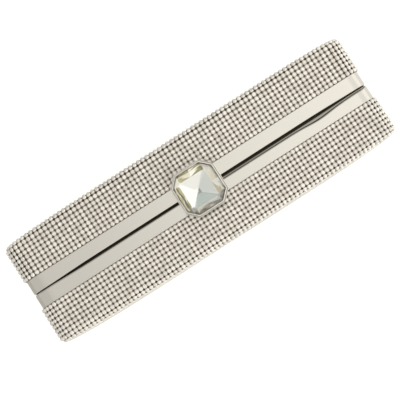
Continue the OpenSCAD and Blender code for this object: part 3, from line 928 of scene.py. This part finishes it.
def dress(names, made):
    """Gives CAD nodes a material in place of their own."""
    for name in names:
        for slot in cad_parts[name].material_slots:
            slot.link = "DATA"
            slot.material = made


CHATONS = chaton_glass()
CUPS = plated_cup()
BOARD = backing_board()
# Brass strip, buffed along its length and nickel plated: clear, soft reflections
NICKEL = worked_metal("polished_nickel_plate", (0.1, 0.16), "#d3d0c8")
# The same plate where no buff reaches, rougher, and painted dark as shade: it reads as the dark line in the
# gap between the rails
GAP_SHADE_NICKEL = worked_metal("nickel_painted_gap_shade", (0.4, 0.55), "#4a443a")
# Brushed plate on the lip and in the setting's groove: a soft grey with no clear reflections, and a darker
# tint painted on as the shade in these sunken places
SHADED_LIP_NICKEL = worked_metal("satin_nickel_painted_shade", (0.25, 0.35), "#aeaaa1")
# Cast, tumbled and silver plated: brighter and sharper than the rails
SILVER = worked_metal("polished_silver_plate", (0.05, 0.12), "#e9e6de")
# Rolled and drawn steel, left bare: grey, with spread highlights
STEEL = worked_metal("rolled_spring_steel", (0.25, 0.35), "#a9a7a3")
CUT_GLASS = cut_glass()
MIRROR_BACK = mirror_back()
SATIN = satin()

polished_frames()
setting()
cut_stone()
spring()
linings = [lining("front", -1), lining("back", 1)]
pocket()

for side, half in ((-1, "front"), (1, "back")):
    wall, face = stone_places(half)
    body = half + "_half"
    node = half + "_rhinestone_mesh"
    stones = [
        strew(half + "_wall_stones", STONE, 4, wall, body, side, CHATONS, 0.03, 11 + side),
        strew(half + "_face_stones", STONE, 4, face, body, side, CHATONS, 0.03, 21 + side),
        strew(half + "_cups", CUP, 2, [np.concatenate(p) for p in zip(wall, face)], body, side, CUPS),
    ]
    for made in stones:
        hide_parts(node)

dress(["front_shell", "back_shell"], BOARD)
dress(["clasp_base", "keeper", "clasp_stem", "latch_hook"], NICKEL)
for end in ("left", "right"):
    dress(["front_hinge_leaf_" + end, "back_hinge_leaf_" + end, "hinge_pin_" + end], STEEL)
dress(["stem_clip"], STEEL)
dress(["front_leaf_rivets", "back_leaf_rivets", "keeper_rivets", "clasp_base_rivets", "crystal_foil"], SILVER)


# ---- stage, light and camera ----


def floor():
    """A large pale floor that glows a little, more to the right of the bag: painted light that brightens the
    bag from below and from the right.
    """
    half = 3000
    points = np.array([(-half, -half, 0), (half, -half, 0), (half, half, 0), (-half, half, 0)]) * MM
    mesh = bpy.data.meshes.new("floor")
    mesh.from_pydata(points.tolist(), [], [(0, 1, 2, 3)])
    made, tree, shader = material("white_table", {"Roughness": 0.9})
    place = add(tree, "ShaderNodeTexCoord")
    parts = add(tree, "ShaderNodeSeparateXYZ", links={"Vector": place.outputs["Object"]})
    # Painted light: the glow grows from the bag's left to its right
    lit = {"From Min": -0.14, "From Max": 0.14, "To Min": 0.0, "To Max": 0.45}
    shine = add(tree, "ShaderNodeMapRange", lit, {"Value": parts.outputs["X"]})
    path = add(tree, "ShaderNodeLightPath")  # seen directly, it is evenly white
    glow = add(tree, "ShaderNodeMix", {0: 0.0}, {0: path.outputs["Is Camera Ray"], 2: shine.outputs[0]})
    glow.inputs[3].default_value = 0.6
    tree.links.new(glow.outputs[0], shader.inputs["Emission Strength"])
    shader.inputs["Base Color"].default_value = colour("#dadad6")
    shader.inputs["Emission Color"].default_value = colour("#ffffff")
    mesh.materials.append(made)
    plane = bpy.data.objects.new("floor", mesh)
    bpy.context.scene.collection.objects.link(plane)


def studio():
    """Soft light from all round: dim on the left, bright on the right with a softer stretch, less behind."""
    world = bpy.data.worlds.new("studio")
    bpy.context.scene.world = world
    world.use_nodes = True
    tree = world.node_tree
    tree.nodes.clear()
    place = add(tree, "ShaderNodeTexCoord")
    parts = add(tree, "ShaderNodeSeparateXYZ", links={"Vector": place.outputs["Generated"]})
    sideways = {"From Min": -1.0, "From Max": 1.0}
    share = add(tree, "ShaderNodeMapRange", sideways, {"Value": parts.outputs["X"]})
    across = add(tree, "ShaderNodeValToRGB", links={"Fac": share.outputs[0]})
    # Places from the far left to the far right, and how bright the room is there
    steps = [(0.0, 0.54), (0.35, 0.54), (0.43, 0.62), (0.46, 0.69), (0.54, 0.89), (0.57, 0.95)]
    steps += [(0.61, 0.97), (0.68, 0.89), (0.74, 0.83), (0.9, 0.83), (0.96, 1.0), (1.0, 1.0)]
    for step in steps[1:-1]:
        across.color_ramp.elements.new(step[0])
    for element, step in zip(across.color_ramp.elements, steps):
        element.color = (step[1], step[1], step[1], 1)
    smooth = {
        "interpolation_type": "SMOOTHSTEP",
        "From Min": 0.1,
        "From Max": 0.8,
        "To Min": 1.4,
        "To Max": 0.7,
    }
    behind = add(tree, "ShaderNodeMapRange", smooth, {"Value": parts.outputs["Y"]})
    links = {0: across.outputs["Color"], 1: behind.outputs[0]}
    strength = add(tree, "ShaderNodeMath", {"operation": "MULTIPLY"}, links)
    path = add(tree, "ShaderNodeLightPath")  # behind the bag the sky looks as white as the table
    seen = add(tree, "ShaderNodeMix", {3: 1.1}, {0: path.outputs["Is Camera Ray"], 2: strength.outputs[0]})
    sky = add(tree, "ShaderNodeBackground", {"Color": colour("#fffdf9")}, {"Strength": seen.outputs[0]})
    add(tree, "ShaderNodeOutputWorld", links={"Surface": sky.outputs[0]})


def camera():
    """Above the clasp, tipped a little to the front, and rolled so that the bag climbs to the right."""
    roll = np.radians(32.6)
    tip = np.radians(3)
    distance = 0.6  # in metres
    drop = 0.0049  # the view's middle lies this far below the clasp, in metres
    towards = np.array([0, -np.sin(tip), np.cos(tip)])
    up = np.array([0, np.cos(tip), np.sin(tip)])
    right = np.array([1.0, 0, 0])
    view_right = np.cos(roll) * right - np.sin(roll) * up
    view_up = np.sin(roll) * right + np.cos(roll) * up
    aim = np.array([-0.2, -0.4, TOP]) * MM - view_up * drop
    place = aim + towards * distance
    matrix = np.eye(4)
    matrix[:3, 0], matrix[:3, 1], matrix[:3, 2], matrix[:3, 3] = view_right, view_up, towards, place
    data = bpy.data.cameras.new("camera")
    data.lens = 105.35
    made = bpy.data.objects.new("camera", data)
    bpy.context.scene.collection.objects.link(made)
    made.matrix_world = matrix.T.tolist()
    bpy.context.scene.camera = made


floor()
studio()
camera()
bpy.context.scene.view_settings.view_transform = "Standard"
